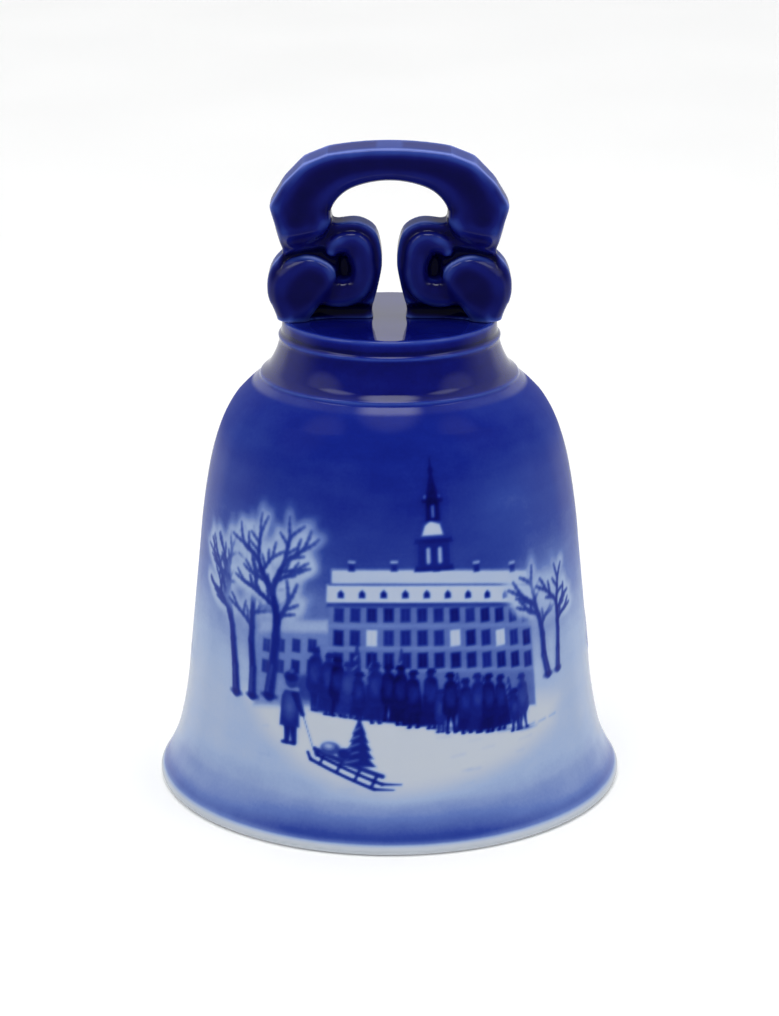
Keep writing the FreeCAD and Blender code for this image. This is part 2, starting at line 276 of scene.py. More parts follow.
def floor_material():
    """Almost plain white, matt, and a little lit from within as paper seems to be."""
    n = Nodes(bpy.data.materials.new("pale_floor"))
    stops = [(0.35, (251, 251, 250)), (0.65, (254, 254, 253))]
    n.set(Base_Color=n.ramp(n.noise(9, 3.0, 0.5), stops), Roughness=0.9,
          Specular_IOR_Level=0.1, Emission_Color=lin(255, 255, 255), Emission_Strength=0.04)
    return n.owner


# ---- painted scene
# The painting lives on the unrolled wall: s is millimetres round the bell from the
# front (positive to the right), z is the height. Paint is 0 for bare white, 1 for
# full cobalt; relief is the height of the moulded forms in millimetres.

ARC = 38.0          # millimetres of s per radian round the bell


class Painting:
    """Paint and relief over a grid of points (s, z), and the brushes that change them."""

    def __init__(self, s, z, paint, relief):
        self.s, self.z, self.paint, self.relief = s, z, paint, relief

    def at(self, s, z):
        """The same painting, measured from (s, z)."""
        return Painting(self.s - s, self.z - z, self.paint, self.relief)

    def lay(self, cover, tone):
        """Brush one tone over the whole painting, as strongly as cover says."""
        self.paint += (tone - self.paint) * cover

    def touch(self, low, high, pad, gap, tone, lift, soft, strength):
        """Brush the points near a box, so that a small stroke costs little.

        gap gives the distance to the stroke's edge, and lift its moulded height."""
        near = np.nonzero((self.s > low[0] - pad) & (self.s < high[0] + pad)
                          & (self.z > low[1] - pad) & (self.z < high[1] + pad))
        cover = step(soft, -soft, gap(self.s[near], self.z[near])) * strength
        self.paint[near] += (tone - self.paint[near]) * cover
        if lift is not None:
            self.relief[near] += (lift - self.relief[near]) * cover

    def stroke(self, a, b, ra, rb, tone, lift=None, soft=0.35, strength=1.0):
        """Tapered round-ended brush stroke from a to b."""
        def gap(s, z):
            return band_gap([(*a, ra), (*b, rb)], s, z)
        self.touch(np.minimum(a, b), np.maximum(a, b), max(ra, rb) + soft, gap, tone, lift,
                   soft, strength)

    def oval(self, centre, rs, rz, tone, lift=None, soft=0.35, turn=0.0, strength=1.0):
        """Filled oval, turned by turn radians."""
        c, d = math.cos(turn), math.sin(turn)

        def gap(s, z):
            s, z = s - centre[0], z - centre[1]
            return (np.hypot((s * c + z * d) / rs, (z * c - s * d) / rz) - 1) * min(rs, rz)
        self.touch(centre, centre, max(rs, rz) + soft, gap, tone, lift, soft, strength)

    def area(self, points, tone, lift=None, soft=0.3, strength=1.0):
        """Filled polygon."""
        points = np.array(points, float)

        def gap(s, z):
            return polygon_gap(points, s, z)
        self.touch(points.min(0), points.max(0), soft, gap, tone, lift, soft, strength)

    def block(self, low, high, half, top_half, *look, **more):
        """Area about s = 0 from low to high, half wide at the bottom, top_half at the top."""
        self.area([(-half, low), (half, low), (top_half, high), (-top_half, high)],
                  *look, **more)


def to_segment(ax, ay, bx, by, x, y):
    """Nearest place along a segment, 0 to 1, and the distance to it."""
    dx, dy = bx - ax, by - ay
    t = np.clip(((x - ax) * dx + (y - ay) * dy) / max(dx * dx + dy * dy, 1e-9), 0, 1)
    return t, np.hypot(x - ax - t * dx, y - ay - t * dy)


def polygon_gap(points, x, y):
    """Distance to a closed polygon, negative inside."""
    best = np.full(x.shape, 1e9)
    inside = np.zeros(x.shape, bool)
    for (ax, ay), (bx, by) in zip(points, np.roll(points, -1, axis=0)):
        best = np.minimum(best, to_segment(ax, ay, bx, by, x, y)[1])
        crosses = (ay > y) != (by > y)
        inside ^= crosses & (x < ax + (bx - ax) * (y - ay) / ((by - ay) or 1e-12))
    return np.where(inside, -best, best)


def sag(s):
    """Level lines of the scene droop a little to both sides."""
    return -0.0042 * s * s


def sky_and_snow(p):
    """Airbrushed ground: deep blue at the crown, pale snow light low down, with a painted sheen to
    the sides and a painted highlight up on the right.
    """
    heights = [0, 1.8, 2.3, 3.2, 5.0, 7.5, 10, 14, 20, 26, 32, 38, 46, 56, 66, 76, 84, 96]
    tones = [0, 0, 0.56, 0.70, 0.58, 0.44, 0.33, 0.27, 0.24, 0.26, 0.33, 0.43, 0.58, 0.72, 0.80,
             0.84, 0.82, 0.92]
    p.paint[:] = np.interp(p.z, heights, tones)
    # Paler away from the front, round the sides and back of the sky: a painted sheen; the blue
    # band at the lip is also paler to the sides.
    side = step(14, 46, np.abs(p.s)) * step(20, 40, p.z) * step(92, 74, p.z)
    p.paint -= 0.10 * side
    p.paint -= 0.14 * step(12, 34, np.abs(p.s)) * step(9, 5, p.z) * step(1.6, 3.0, p.z)
    # A soft paler patch up on the right is a painted highlight; a fainter paler streak sits up on
    # the left.
    p.oval((27.0, 66.0), 8.0, 5.0, 0.60, soft=7.0, strength=0.7)
    p.oval((-20.0, 72.0), 10.0, 3.0, 0.74, soft=6.0, strength=0.5)
    snow = [(-29, 27), (-24.5, 21.5), (-17, 15.8), (-9, 12.4), (1, 10.8), (13, 12.6), (25, 15.6),
            (34, 19.5), (36, 24), (28, 27), (0, 32), (-16, 33)]
    p.area(snow, 0.04, lift=0.05, soft=3.0)


def branch(rng, start, heading, length, width, depth, limbs):
    """One limb and, from it, its smaller limbs, gathered in limbs; depth 0 is a tip."""
    place, pieces = np.array(start, float), 3
    bend = rng.normal(0, 0.22)
    for i in range(pieces):
        heading = float(np.clip(heading + bend / pieces + rng.normal(0, 0.07), -1.35, 1.35))
        after = place + length / pieces * np.array([math.sin(heading), math.cos(heading)])
        w0, w1 = (width * (1 - 0.26 * k / pieces) for k in (i, i + 1))
        limbs.append((place, after, w0, w1, depth, heading))
        if depth > 0 and i < 2:
            side = rng.choice([-1, 1])
            branch(rng, after, heading + side * rng.uniform(0.6, 1.1), length * 0.58, w1 * 0.66,
                   depth - 1 if i else depth // 2, limbs)
        place = after
    if depth > 0:
        for side in (-1, 1):
            branch(rng, place, heading + side * rng.uniform(0.24, 0.5), length * 0.76,
                   width * 0.72, depth - 1, limbs)


def tree(p, seed, foot, height, width, lean=0.0, depth=3, frost=1.0):
    """Bare winter tree with frosted, pale air between its branches."""
    rng = np.random.default_rng(seed)
    p = p.at(*foot)
    tone = 0.86
    fork = (height * 0.3 * math.sin(lean), height * 0.32)
    limbs = []
    p.oval((fork[0], fork[1] + height * 0.34), height * 0.22, height * 0.26, 0.45,
           soft=height * 0.22, strength=0.5 * frost)
    branch(rng, fork, lean, height * 0.24, width * 0.78, depth, limbs)
    for a, b, w0, w1, level, heading in limbs:
        if level < depth:
            reach = 1.2 if level else 0.8
            p.stroke(a, b, reach, reach, 0.30, lift=0.03, soft=2.4,
                     strength=rng.uniform(0.12, 0.34) * frost)
    for a, b, w0, w1, level, heading in limbs:
        if level == 0:
            out = b + 0.5 * np.array([math.sin(heading), math.cos(heading)])
            p.oval(out, 0.9 * rng.uniform(0.7, 1.4), 1.6 * rng.uniform(0.7, 1.3), 0.24, lift=0.06,
                   soft=1.3, turn=-heading, strength=rng.uniform(0.2, 0.5) * frost)
    for a, b, w0, w1, level, heading in limbs:
        p.stroke(a, b, max(w0, 0.3), max(w1, 0.24), tone - 0.05 * (depth - level),
                 lift=0.06 + 0.12 * min(w0, 1.0), soft=0.36)
    middle = (fork[0] * 0.4 + rng.normal(0, 0.3), fork[1] * 0.5)
    for a, b, w0, w1 in (((0, 0), middle, 1.0, 0.86), (middle, fork, 0.86, 0.78)):
        p.stroke(a, b, width * w0, width * w1, tone, lift=0.2, soft=0.34)
    p.stroke((-width * 0.3, 0.8), (middle[0] - width * 0.2, middle[1]),
             width * 0.3, width * 0.24, tone - 0.16, soft=0.4, strength=0.7)
    p.oval((0, -0.1), width * 1.5, 0.55, tone, lift=0.12, soft=0.4)


def window(p, s, z, wide, tall, tone, lit=False):
    """Window in a paler surround; a lit one is pale itself with a dark bar."""
    p = p.at(s, z + sag(s))
    pane = (-tall, tall, wide, wide)
    p.block(*pane, 0.42, lift=0.08, soft=0.8, strength=0.5)
    p.block(*pane, 0.14 if lit else tone, lift=0.10 if lit else 0.0, soft=0.34)
    p.stroke((0, -tall * 0.7), (0, tall * 0.7), 0.05, 0.05, 0.5 if lit else tone - 0.2,
             soft=0.25, strength=0.5)


def hall(p):
    """Long plain town hall with a snowy roof, rows of windows and a small belfry."""
    left, right, wing = -11.5, 29.6, -27.0
    eaves, mid, ridge, foot = 48.9, 52.3, 55.3, 28.0
    rng = np.random.default_rng(12)
    # Wing, front, string courses, roof and its edges: s from and to, z from and to, look.
    bands = [(wing, left, foot, 43.0, 0.50, 0.05, 0.9, 0.85),
             (wing + 0.6, left, 43.0, 45.4, 0.26, 0.09, 0.8, 0.8),
             (left, right, foot, eaves, 0.56, 0.06, 0.45)]
    bands += [(left, right, z - 0.25, z + 0.25, 0.42, 0.10, 0.5, 0.6) for z in (44.3, 39.9, 35.6)]
    bands += [(left - 0.6, right + 0.5, eaves - 0.1, mid, 0.15, 0.14, 0.4),
              (left + 0.3, right - 0.4, mid, ridge, 0.20, 0.10, 0.4),
              (left - 0.2, right + 0.2, mid - 0.15, mid + 0.3, 0.66, 0.02, 0.35, 0.9),
              (left + 0.2, right - 0.3, ridge - 0.2, ridge + 0.15, 0.60, 0.04, 0.35, 0.8),
              (left - 0.6, right + 0.5, eaves - 0.9, eaves - 0.1, 0.76, 0.02, 0.35, 0.9)]
    for s0, s1, z0, z1, *look in bands:
        steps = np.linspace(s0, s1, 14)
        p.area([(s, z0 + sag(s)) for s in steps] + [(s, z1 + sag(s)) for s in steps[::-1]], *look)
    for s in np.arange(left + 2.2, right - 1, 4.1):
        p.at(s, 50.4 + sag(s)).area([(-0.62, -0.7), (0.62, -0.7), (0.62, 0.25), (0, 0.95),
                                     (-0.62, 0.25)], 0.84, 0.05, 0.35)
    for s in np.arange(left + 4.2, right - 3, 8.2):
        chimney = p.at(s, ridge + sag(s))
        chimney.block(-0.4, 1.3, 0.6, 0.6, 0.86, 0.1, 0.34)
        chimney.stroke((-0.5, 1.4), (0.5, 1.4), 0.24, 0.24, 0.3, 0.12, 0.3)
    count = 0
    for s in np.arange(left + 1.9, right - 0.8, 3.15):
        for z, tall in ((46.4, 1.35), (41.9, 1.5), (37.5, 1.5)):
            window(p, s, z, 0.92, tall, rng.uniform(0.82, 0.93), lit=count in (7, 22, 31))
            count += 1
    for s in np.arange(wing + 2.4, left - 1, 3.3):
        for z in (40.6, 36.4):
            window(p, s, z - 0.3, 0.85, 1.3, rng.uniform(0.74, 0.86))
    belfry(p.at(8.7, ridge + sag(8.7)))


def belfry(p):
    """Plain square belfry: an open stage, a snow-topped cap and a short finial."""
    p.block(-0.3, 0.8, 4.0, 3.7, 0.9, 0.12, 0.25)
    p.block(0.6, 5.4, 3.1, 3.1, 0.86, 0.14, 0.25)
    for s in (-1.15, 1.15):
        p.stroke((s, 1.5), (s, 3.9), 0.42, 0.42, 0.32, 0.06, 0.25)
    p.block(5.1, 6.0, 3.9, 3.6, 0.93, 0.18, 0.22)
    p.area([(-3.3, 5.9), (3.3, 5.9), (2.5, 7.9), (1.2, 9.6), (-1.2, 9.6), (-2.5, 7.9)],
           0.80, 0.12, 0.3)
    p.area([(-2.3, 6.6), (1.9, 6.6), (1.3, 8.6), (-0.6, 9.3), (-1.7, 8.4)], 0.16, 0.17, 0.4)
    p.block(9.3, 13.0, 1.5, 1.35, 0.98, 0.16, 0.3)
    p.stroke((0, 10.2), (0, 12.2), 0.3, 0.3, 0.5, 0.08, 0.3)
    p.stroke((-1.8, 13.1), (1.8, 13.1), 0.4, 0.4, 0.98, 0.18, 0.28)
    p.stroke((-1.4, 13.8), (1.2, 13.8), 0.3, 0.3, 0.35, 0.14, 0.3)
    p.stroke((0, 13.6), (0, 18.0), 1.4, 0.34, 0.98, 0.14, 0.32)
    p.oval((0, 18.6), 0.62, 0.62, 0.98, 0.14, 0.28)
    p.stroke((0, 18.8), (0, 20.8), 0.24, 0.12, 0.98, 0.08, 0.25)


def walker(p, tall, facing, tone, rng, skirt):
    """Small wrapped-up figure in a coat and hat, without a face."""
    hip, chest, head = tall * 0.46, tall * 0.78, tall * 0.92
    broad = tall * 0.115
    stride = rng.uniform(0.3, 0.75)
    if skirt:
        p.block(0.6, hip + 1.2, broad * 1.75, broad * 0.8, tone, 0.17, 0.3)
    for side in (-1, 1):
        foot = side * stride
        p.stroke((side * 0.3, hip), (foot, 0.2), 0.46, 0.27, tone, 0.14, 0.24)
        p.stroke((foot, 0.1), (foot + 0.4 * facing, 0.1), 0.22, 0.2, tone + 0.04, 0.1, 0.22)
    p.stroke((0, hip - 0.6), (0.1 * facing, chest), broad * 1.18, broad * 0.92, tone, 0.22, 0.3)
    p.stroke((-0.2 * facing, chest), (facing, hip + 0.9), broad * 0.45, broad * 0.34,
             tone + 0.05, 0.24, 0.26)
    p.oval((0.12 * facing, hip + tall * 0.16), broad * 0.75, tall * 0.16, tone - 0.22, 0.25,
           0.6, strength=0.5)
    p.oval((0.15 * facing, head), 0.62, 0.74, tone - 0.02, 0.22, 0.25)
    p.stroke((-0.65, head + 0.45), (0.75, head + 0.45), 0.2, 0.2, tone + 0.05, 0.22, 0.22)
    p.stroke((-0.3, head + 0.8), (0.4, head + 0.8), 0.36, 0.36, tone + 0.03, 0.22, 0.24)

def townsfolk(p):
    """A generic group out walking in front of the hall, with firs behind them."""
    rng = np.random.default_rng(7)
    for s, tall in ((-13.4, 10.5), (-6.0, 12.5), (-3.2, 11.0), (2.2, 12.5), (12.6, 9.0),
                    (17.8, 8.6), (23.2, 8.2)):
        fir(p, s, ground(s) + 2.6, tall, 3.0, 0.84)
    for s in np.arange(-15.5, 26.5, 2.9):
        p.oval((s, ground(s) + 4.4), 2.3, 2.6, 0.80, 0.10, 0.9, strength=0.8)
    places = np.arange(-14.0, 27.5, 2.35)
    for i, s in enumerate(places):
        s = s + rng.normal(0, 0.35)
        tall = rng.uniform(10.4, 12.6) * (0.72 if i % 6 == 4 else 1.0)
        p.oval((s + 1.2, ground(s) + 0.1), 2.0, 0.32, 0.55, 0.02, 0.3, strength=0.75)
        walker(p.at(s, ground(s) + rng.uniform(-0.6, 0.5)), tall, rng.choice([-1, 1]),
               rng.uniform(0.82, 1.0), rng, skirt=rng.random() < 0.45)


def ground(s):
    """Height of the trodden snow under the group, falling to the right."""
    return np.interp(s, [-16, 0, 10, 28], [26.6, 25.2, 23.2, 19.9])


def fir(p, s, foot, tall, wide, tone):
    """Snow-laden fir built from drooping tiers."""
    p = p.at(s, foot)
    tiers = 5
    for i in range(tiers):
        low = tall * (0.08 + 0.76 * i / tiers)
        half = wide * 0.5 * (1 - 0.74 * i / tiers)
        p.block(low, min(low + tall * 0.34, tall), half, 0.12, tone, 0.13, 0.3)
        p.stroke((-half * 0.75, low + 0.62), (-half * 0.05, low + 1.3), 0.2, 0.12, tone - 0.4,
                 0.18, 0.25, strength=0.8)


def sledge(p):
    """Someone in a long coat draws a sledge that carries a small fir."""
    figure = p.at(-18.6, 19.2)
    for hip, foot in ((-0.5, -0.5), (0.5, 1.0)):
        figure.stroke((hip, 5.5), (foot, 0.6), 0.85, 0.55, 0.88, 0.2, 0.3)
        figure.stroke((foot, 0.3), (foot - 0.9, 0.25), 0.42, 0.34, 0.9, 0.16, 0.28)
    figure.area([(-2.2, 3.4), (2.0, 3.6), (1.7, 9.6), (0.9, 11.2), (-1.0, 11.2), (-1.9, 9.4)],
                0.84, 0.26, 0.35)
    figure.oval((-0.1, 7.6), 1.1, 2.4, 0.58, 0.3, 0.9, strength=0.75)
    figure.stroke((0.9, 10.2), (2.5, 6.4), 0.72, 0.5, 0.9, 0.28, 0.3)
    figure.stroke((-1.3, 11.1), (1.3, 11.1), 0.42, 0.42, 0.5, 0.28, 0.3)
    figure.oval((0, 12.7), 1.35, 1.45, 0.78, 0.26, 0.32)
    figure.oval((-0.1, 13.5), 1.55, 1.0, 0.9, 0.28, 0.3)
    figure.oval((-0.1, 14.6), 0.55, 0.5, 0.7, 0.28, 0.28)
    figure.stroke((2.5, 6.4), (5.3, -1.6), 0.12, 0.12, 0.75, 0.06, 0.2)
    for shift, rise in ((0.0, 0.0), (1.3, 1.0)):
        a, b = (-14.2 + shift, 17.0 + rise), (-2.6 + shift, 12.2 + rise)
        p.stroke((a[0] - 0.6, a[1] + 1.3), a, 0.3, 0.3, 0.93, 0.14, 0.24)
        p.stroke(a, b, 0.34, 0.3, 0.93, 0.14, 0.24)
        p.stroke(b, (b[0] + 3.4, b[1] - 0.1), 0.28, 0.14, 0.9, 0.1, 0.24)
    for t in (0.15, 0.42, 0.7, 0.95):
        place = (-14.2 + 11.6 * t, 17.0 - 4.8 * t)
        p.stroke(place, (place[0] + 1.0, place[1] + 2.4), 0.26, 0.26, 0.9, 0.14, 0.24)
    p.stroke((-13.0, 18.9), (-1.2, 14.7), 0.5, 0.46, 0.86, 0.2, 0.28)
    fir(p, -5.4, 15.6, 10.4, 6.4, 0.86)
    p.oval((-10.6, 19.6), 1.9, 1.35, 0.72, 0.24, 0.35)
    p.oval((-10.9, 20.0), 0.9, 0.6, 0.35, 0.26, 0.5)
    p.oval((-8.0, 18.7), 1.3, 1.2, 0.86, 0.22, 0.35)


def snow_marks(p):
    """Brushed hollows and tracks in the snow."""
    rng = np.random.default_rng(31)
    for _ in range(26):
        s, z = rng.uniform(-27, 33), rng.uniform(11.5, 22.0)
        if z > ground(s) - 1.0 or (-21 < s < 3 and z > 11.8):
            continue
        long = rng.uniform(1.0, 3.2)
        p.stroke((s, z), (s + long, z + rng.uniform(-0.1, 0.35)), 0.1, 0.22, 0.34, -0.02, 0.35,
                 strength=rng.uniform(0.2, 0.5))
    for s in np.arange(15.0, 35.0, 3.0):
        z = ground(s) + 0.1 + 0.055 * (s - 15)
        p.stroke((s, z), (s + 1.9, z + 0.15), 0.16, 0.2, 0.55, 0.02, 0.28, strength=0.7)


def far_side(p):
    """Quiet continuation round the back: low hills and a few bare trees."""
    turn = 2 * math.pi * ARC
    s = p.s % turn
    hill = 27.5 + 2.2 * np.sin(s / 17.0) + 1.1 * np.sin(s / 7.3 + 1.0)
    behind = step(46, 58, np.abs(p.s))
    p.lay(behind * step(-2.5, 2.5, hill - p.z) * step(3, 12, p.z), 0.13)
    ridge = np.exp(-((p.z - hill - 1.2) / 1.6) ** 2)
    p.lay(behind * ridge * 0.35, 0.6)
    for seed, place, tall, wide in ((3, 66, 20, 1.0), (5, 88, 25, 1.2), (9, -72, 22, 1.0),
                                    (14, -96, 26, 1.2), (21, 112, 18, 0.9)):
        foot = 27.0 + 2.2 * math.sin((place % turn) / 17.0)
        tree(p, seed, (place, foot), tall, wide, frost=0.8)
    for place in (58, 76, 101, -62, -84, -107):
        foot = 26.5 + 2.2 * math.sin((place % turn) / 17.0)
        fir(p, place, foot, 8.5, 5.0, 0.78)


def paint_scene(s, z):
    """The finished painting over the points (s, z), from the far things to the near."""
    p = Painting(s, z, np.zeros_like(s), np.zeros_like(s))
    sky_and_snow(p)
    far_side(p)
    hall(p)
    for seed, foot, tall, wide, lean, depth in (
            (2, (-31.6, 26.6), 32, 1.05, -0.2, 3), (17, (-27.4, 27.0), 34, 1.0, -0.1, 3),
            (4, (-23.4, 28.0), 37, 1.2, 0.08, 3), (16, (33.6, 29.6), 26, 0.85, -0.12, 2),
            (18, (36.8, 29.8), 24, 0.75, 0.14, 2)):
        tree(p, seed, foot, tall, wide, lean, depth)
    snow_marks(p)
    townsfolk(p)
    sledge(p)
    p.relief = soften(p.relief, 1)
    p.paint -= 0.75 * (p.relief - soften(p.relief, 6))
    p.paint += 0.6 * (soften(p.paint, 1) - p.paint)
    return p


def soften(grid, rounds):
    """Blur over the unrolled wall's grid, which closes on itself sideways."""
    for _ in range(rounds):
        grid = grid * 0.5 + (np.roll(grid, 1, 1) + np.roll(grid, -1, 1)) * 0.25
        grid[1:-1] = grid[1:-1] * 0.5 + (grid[:-2] + grid[2:]) * 0.25
    return grid


# ---- bell shell

# (radius, height, bend) corners of the section, the same as the CAD's.
WALL_OUT = [
    (46.3, 0.0, 0), (47.3, 1.3, 1.4), (43.05, 11.2, -28), (40.9, 25.0, -95), (38.35, 50.0, 0),
    (36.2, 65.6, 145), (34.15, 73.0, 50), (25.8, 84.3, 21), (21.85, 91.2, -25), (22.1, 92.3, 0),
    (21.45, 92.9, 0), (21.3, 94.8, 0), (20.5, CROWN, 0.8), (0.0, CROWN, 0),
]
WALL_IN = [
    (0.0, CEILING, 0), (14.0, CEILING, 0), (17.5, 88.6, -4.2), (30.2, 72.4, -24),
    (32.7, 65.6, -46), (34.95, 50.0, -142), (37.5, 25.0, 0), (39.75, 11.6, 98), (43.9, 0.9, 31),
    (44.6, 0.0, 1.0),
]
# The shoulder runs up to a thin moulded ring round the neck, which the CAD leaves out.
NECK_RING = [(30.75, 79.4, 24), (25.85, 84.0, 40), (25.8, 84.45, 0), (25.6, 84.75, 0),
             (24.1, 86.0, -8)]
FINE = 46.0         # millimetres of s to either side of the front with close columns


def wall_rows():
    """Section points from the foot up the outside to the crown's centre."""
    lip = WALL_OUT[8][:2] + (-14,)
    runs = [outline(WALL_OUT[:2], 0.3)]
    for corners, spacing in ((WALL_OUT[1:3], 0.45), (WALL_OUT[2:7] + NECK_RING[:1], 0.29),
                             (NECK_RING, 0.2), ([NECK_RING[-1], lip], 0.4),
                             (WALL_OUT[8:13], 0.22)):
        runs.append(outline(corners, spacing)[1:])
    rows = np.concatenate(runs)
    rows[1:-1] = rows[1:-1] * 0.5 + (rows[:-2] + rows[2:]) * 0.25
    return np.concatenate([rows, [(r, CROWN) for r in (19.9, 18.5, 16.0, 12.0, 7.0, 2.0)]])


def turned(r, theta, z):
    """Points at radius r, turned theta from the front, at height z, as one list."""
    return np.stack([r * np.sin(theta), -r * np.cos(theta), z], -1).reshape(-1, 3)


def fan(first, count, tip):
    """Triangles from a closed row of points to one more point."""
    return [(first + i, first + (i + 1) % count, tip) for i in range(count)]


def bell_shell(material):
    """The painted wall, the crown and the lining, as one closed skin."""
    front = np.arange(-FINE, FINE + 0.01, 0.29) / ARC
    behind = np.linspace(front[-1], front[0] + 2 * math.pi, 304)[1:-1]
    turns = np.concatenate([front, behind])
    count = len(turns)
    rows = wall_rows()
    theta, radius = np.meshgrid(turns, rows[:, 0])
    height = np.repeat(rows[:, 1:2], count, axis=1)
    wrapped = (theta + math.pi) % (2 * math.pi) - math.pi
    picture = paint_scene(wrapped * ARC, height)
    tone = crown_tones(picture.paint, radius, height)
    fade = step(4, 12, height) * step(82, 74, height)
    lift = (0.8 * picture.relief - 0.1) * fade
    slope = np.gradient(rows, axis=0)
    slope /= np.hypot(slope[:, 0], slope[:, 1])[:, None]
    outer = turned(radius + lift * slope[:, 1:2], theta, height - lift * slope[:, 0:1])
    quads = grid_quads(len(rows), count)
    tris = fan(len(outer) - count, count, len(outer))

    # Lining: a quarter of the columns, joined to the outer skin across the foot ring.
    lining = outline(WALL_IN, 2.2)[::-1]
    lining = lining[lining[:, 0] > 0.5]
    coarse = turns[::4]
    n, base = len(coarse), len(outer) + 1
    theta, radius = np.meshgrid(coarse, lining[:, 0])
    inner = turned(radius, theta, np.repeat(lining[:, 1:2], n, axis=1))
    quads = np.concatenate([quads, grid_quads(len(lining), n) + base])
    centre = base + len(inner)
    tris += fan(centre - n, n, centre)
    for i in range(n):
        a, b = base + i, base + (i + 1) % n
        fine = [(4 * i + k) % count for k in range(5)]
        tris += [(a, fine[k + 1], fine[k]) for k in range(2)]
        tris += [(b, fine[k + 1], fine[k]) for k in range(2, 4)]
        tris += [(a, b, fine[2])]
    verts = np.concatenate([outer, [(0, 0, CROWN)], inner, [(0, 0, CEILING)]])
    tones = np.concatenate([tone.ravel(), [tone[-1].mean()], np.full(len(inner) + 1, 0.03)])
    r, z = np.hypot(verts[:, 0], verts[:, 1]), verts[:, 2]
    matte = step(83.2, 82.4, z) * (0.5 + 0.35 * step(68, 76, z)) * (0.5 + 0.5 * step(24, 40, z))
    piece = build_mesh("porcelain_shell", verts, quads, "bell", material, tris=tris,
                       cobalt=tones, bare=step(0.25, 0.05, z) * (r > 40), matte=matte)
    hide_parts("bell_shell")
    return piece


def crown_tones(tone, radius, height):
    """Dark neck and crown; paler lines on the rim, the ridge and the neck ring, partly glaze
    running off the edges and partly painted highlights; a little darker just above the ridge.
    """
    tone += (0.93 - tone) * step(83.6, 85.0, height)
    # Paler lines on the ridge, the crown's rim and the neck ring: glaze running off these edges,
    # and painted highlights as well.
    tone -= 0.26 * np.exp(-((height - 92.2) / 0.32) ** 2) * (radius > 20)
    tone -= 0.24 * np.exp(-(np.hypot(radius - 21.0, height - 95.3) / 0.55) ** 2)
    tone -= 0.24 * np.exp(-((height - 84.5) / 0.3) ** 2) * (radius > 20)
    tone += 0.08 * np.exp(-((height - 93.2) / 0.5) ** 2) * (radius > 20)
    return np.clip(tone, 0, 1)


def grid_quads(rows, columns):
    """Quads of a grid that closes on itself sideways."""
    i = np.arange(rows - 1)[:, None] * columns
    j = np.arange(columns)[None, :]
    k = (j + 1) % columns
    return np.stack([i + j, i + k, i + columns + k, i + columns + j], -1).reshape(-1, 4)


# ---- handle

# (x, z, bend) corners of the right half, the same as the CAD's.
HANDLE = [
    (0.0, TOP, 0), (12.0, 128.9, -66), (16.8, 126.9, 0), (20.7, 123.0, 0), (23.5, 118.4, 0),
    (20.9, 109.9, 0), (20.9, 108.7, 0), (23.9, 102.2, -6.9), (21.0, 96.4, -6.9),
    (20.5, CROWN, 0), (3.6, CROWN, 0), (3.0, 99.4, 14), (1.5, 106.0, -60), (2.1, 111.8, -16),
    (7.4, 115.7, -5.2), (10.6, 115.2, 0), (11.5, 117.6, 1.8), (7.4, 121.9, 8), (0.0, 123.4, 19),
]
# The arch with its leg, which ends in a blunt point above the lobe.
ARCH = HANDLE[:6] + [(19.6, 107.9, 0), (17.6, 107.2, 0), (13.0, 112.0, 0), (11.4, 115.4, 0),
                     (11.5, 117.6, 0)] + HANDLE[-2:]
# (x, z, half width) along the middle of the scroll: from the hook's tip over its top,
# down beside the gap and round to the lobe.
HOOK = [(11.2, 109.6, 1.5), (10.4, 110.4, 1.9), (8.4, 111.0, 2.4), (6.4, 110.2, 2.9),
        (5.4, 107.4, 2.5), (5.3, 104.4, 2.4), (6.6, 101.9, 2.5), (9.6, 101.0, 2.7),
        (12.6, 101.7, 2.9), (14.6, 102.8, 3.0)]
LOBE = [(13.9, 104.2, 3.5), (16.4, 103.5, 5.1), (18.3, 101.9, 5.5), (18.9, 98.8, 4.0),
        (19.3, 96.0, 2.2)]
CELL = 0.25         # millimetres between the samples of the handle's field


def band_gap(path, x, y):
    """Distance to the edge of a band of changing width, negative inside."""
    best = np.full(x.shape, 1e9)
    for (ax, ay, wa), (bx, by, wb) in zip(path, path[1:]):
        t, gap = to_segment(ax, ay, bx, by, x, y)
        best = np.minimum(best, gap - (wa + (wb - wa) * t))
    return best


def flow(path, parts=5):
    """Catmull-Rom curve through a path's points, width included."""
    path = np.array(path, float)
    ends = np.concatenate([[2 * path[0] - path[1]], path, [2 * path[-1] - path[-2]]])
    t = np.linspace(0, 1, parts, endpoint=False)[:, None]
    runs = []
    for a, b, c, d in zip(ends, ends[1:], ends[2:], ends[3:]):
        runs.append(0.5 * (2 * b + (c - a) * t + (2 * a - 5 * b + 4 * c - d) * t ** 2
                           + (3 * b - a - 3 * c + d) * t ** 3))
    return np.concatenate(runs + [path[-1:]])


def soft_loop(corners, rounds):
    """Closed outline of a right half, carried over the middle, with its corners eased."""
    points = outline(corners, 0.5)
    points = np.concatenate([points, [(-3.0, corners[-1][1]), (-3.0, corners[0][1])]])
    points = np.concatenate([arc_run(a, b, 0, 0.5)[:-1]
                             for a, b in zip(points, np.roll(points, -1, 0))])
    for _ in range(rounds):
        points = points * 0.5 + (np.roll(points, 1, 0) + np.roll(points, -1, 0)) * 0.25
    return points[::2]


def slab(side, depth, soft, y):
    """Field of a flat form of half depth depth, with its edges rounded by soft."""
    a = np.abs(y)[None, :, None] - depth[:, None, :] + soft[:, None, :]
    b = (side + soft)[:, None, :]
    return np.where((a > 0) & (b > 0), np.hypot(a, b), np.maximum(a, b)) - soft[:, None, :]


def join(a, b, blend):
    """Union of two fields with a fillet where they meet."""
    h = np.clip(0.5 + 0.5 * (b - a) / blend, 0, 1)
    return b * (1 - h) + a * h - blend * h * (1 - h)


